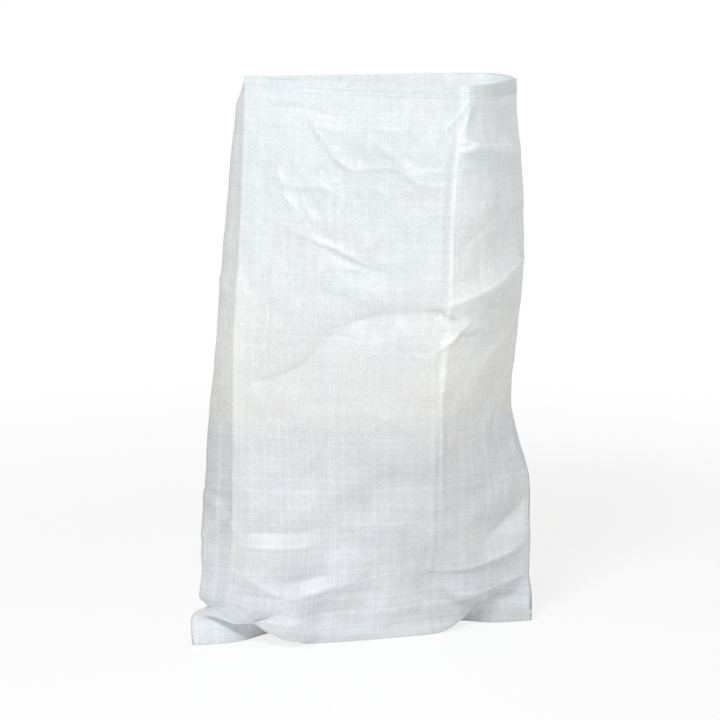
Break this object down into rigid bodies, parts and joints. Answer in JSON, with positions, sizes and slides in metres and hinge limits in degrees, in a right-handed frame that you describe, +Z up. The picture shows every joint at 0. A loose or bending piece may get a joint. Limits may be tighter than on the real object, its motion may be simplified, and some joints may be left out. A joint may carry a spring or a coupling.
{
  "type": "rubble bag",
  "caption": "Open-topped woven polypropylene bag that stands upright, with a hemmed mouth, storage creases and a folded and sewn bottom seam",
  "frame": {"origin": "middle of the plan box, on the floor that the bag stands on", "axes": "+Z up and the longest extent, -Y the front, +X to the right seen from the front"},
  "size_m": [0.587, 0.3068, 0.9503],
  "materials": {
    "woven_cloth": "satin woven tape",
    "sewing_thread": "matte twisted thread"
  },
  "bodies": {
    "root": {"sack_fabric": "woven_cloth", "hem_thread_upper": "sewing_thread", "hem_thread_lower": "sewing_thread", "base_seam_thread": "sewing_thread"}
  },
  "joints": []
}
